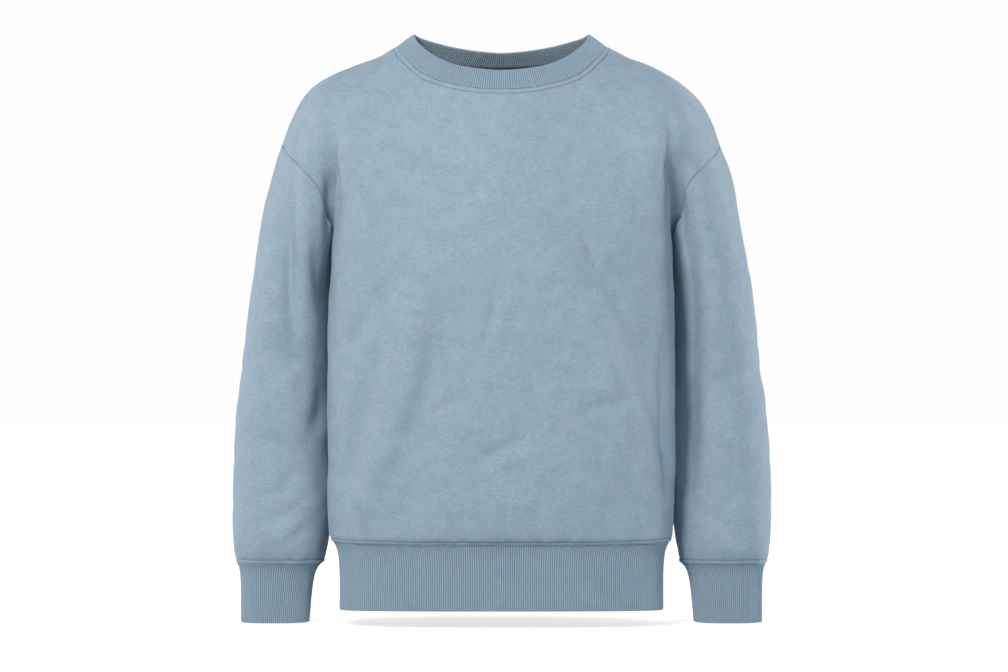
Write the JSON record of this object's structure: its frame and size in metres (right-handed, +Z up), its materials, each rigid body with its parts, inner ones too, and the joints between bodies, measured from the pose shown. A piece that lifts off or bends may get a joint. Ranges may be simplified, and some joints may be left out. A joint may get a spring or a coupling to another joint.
{
  "type": "crewneck sweatshirt",
  "caption": "Long-sleeved crewneck sweatshirt with dropped shoulders, ribbed collar, hem band and cuffs, filled out as worn with nobody in it.",
  "frame": {"origin": "midway between the two points where the shoulder seams meet the collar, where the wearer's shoulders and neck hold it", "axes": "+X towards the garment's left sleeve, +Z up to the collar, the front faces -Y"},
  "size_m": [0.6498, 0.2498, 0.7063],
  "materials": {
    "fleece": "matt brushed jersey, dusty blue",
    "rib_knit": "matt rib knit, dusty blue, a little darker"
  },
  "bodies": {
    "root": {"front_panel": "fleece", "back_panel": "fleece", "left_sleeve": "fleece", "right_sleeve": "fleece", "collar": "rib_knit", "hem_band": "rib_knit", "left_cuff": "rib_knit", "right_cuff": "rib_knit"}
  },
  "joints": []
}
